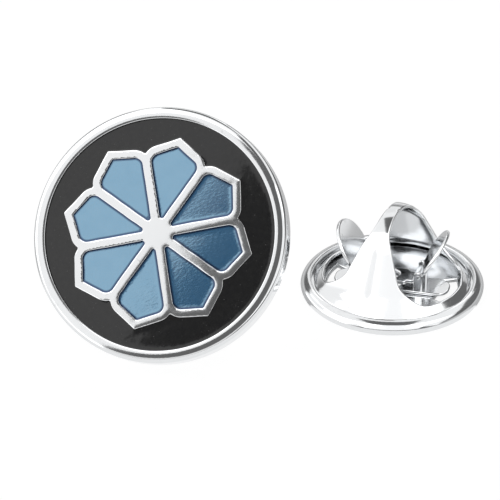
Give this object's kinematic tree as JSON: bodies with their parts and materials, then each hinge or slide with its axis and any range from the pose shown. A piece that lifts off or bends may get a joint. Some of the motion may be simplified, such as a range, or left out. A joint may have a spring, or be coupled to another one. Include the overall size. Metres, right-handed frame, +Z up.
{
  "type": "enamel lapel pin with butterfly clutch",
  "caption": "Round hard enamel lapel pin with a rosette flower, leaning on its rim and the tip of its post, and its butterfly clutch lying apart beside it.",
  "frame": {"origin": "on the surface that the pin and the clutch rest on, below the middle of the whole's bounding box", "axes": "+Z up; +X from the pin towards the clutch; the pin's face looks towards -Y and up"},
  "size_m": [0.0282, 0.0158, 0.0133],
  "materials": {
    "plated_metal": "polished nickel plate",
    "black_enamel": "polished hard enamel",
    "blue_enamel": "translucent polished enamel over bright metal"
  },
  "bodies": {
    "pin_and_clutch": {"badge": "plated_metal", "black_enamel": "black_enamel", "petal_enamel_1": "blue_enamel", "petal_enamel_2": "blue_enamel", "petal_enamel_3": "blue_enamel", "petal_enamel_4": "blue_enamel", "petal_enamel_5": "blue_enamel", "petal_enamel_6": "blue_enamel", "petal_enamel_7": "blue_enamel", "petal_enamel_8": "blue_enamel", "clutch_base": "plated_metal", "clutch_cap": "plated_metal", "spring_plate": "plated_metal"},
    "left_lever": {"wing_left": "plated_metal"},
    "right_lever": {"wing_right": "plated_metal"}
  },
  "joints": [
    {"name": "left_pinch", "type": "hinge", "parent": "pin_and_clutch", "child": "left_lever", "pos_m": [0.00654, 0.00254, 0.00171], "axis": [0.225, 0.9744, 0], "range_deg": [0, 8], "stiffness_Nm_per_rad": 0.08, "springref_deg": -2.86},
    {"name": "right_pinch", "type": "hinge", "parent": "pin_and_clutch", "child": "right_lever", "pos_m": [0.01008, 0.00172, 0.00171], "axis": [-0.225, -0.9744, 0], "range_deg": [0, 8], "stiffness_Nm_per_rad": 0.08, "springref_deg": -2.86}
  ]
}
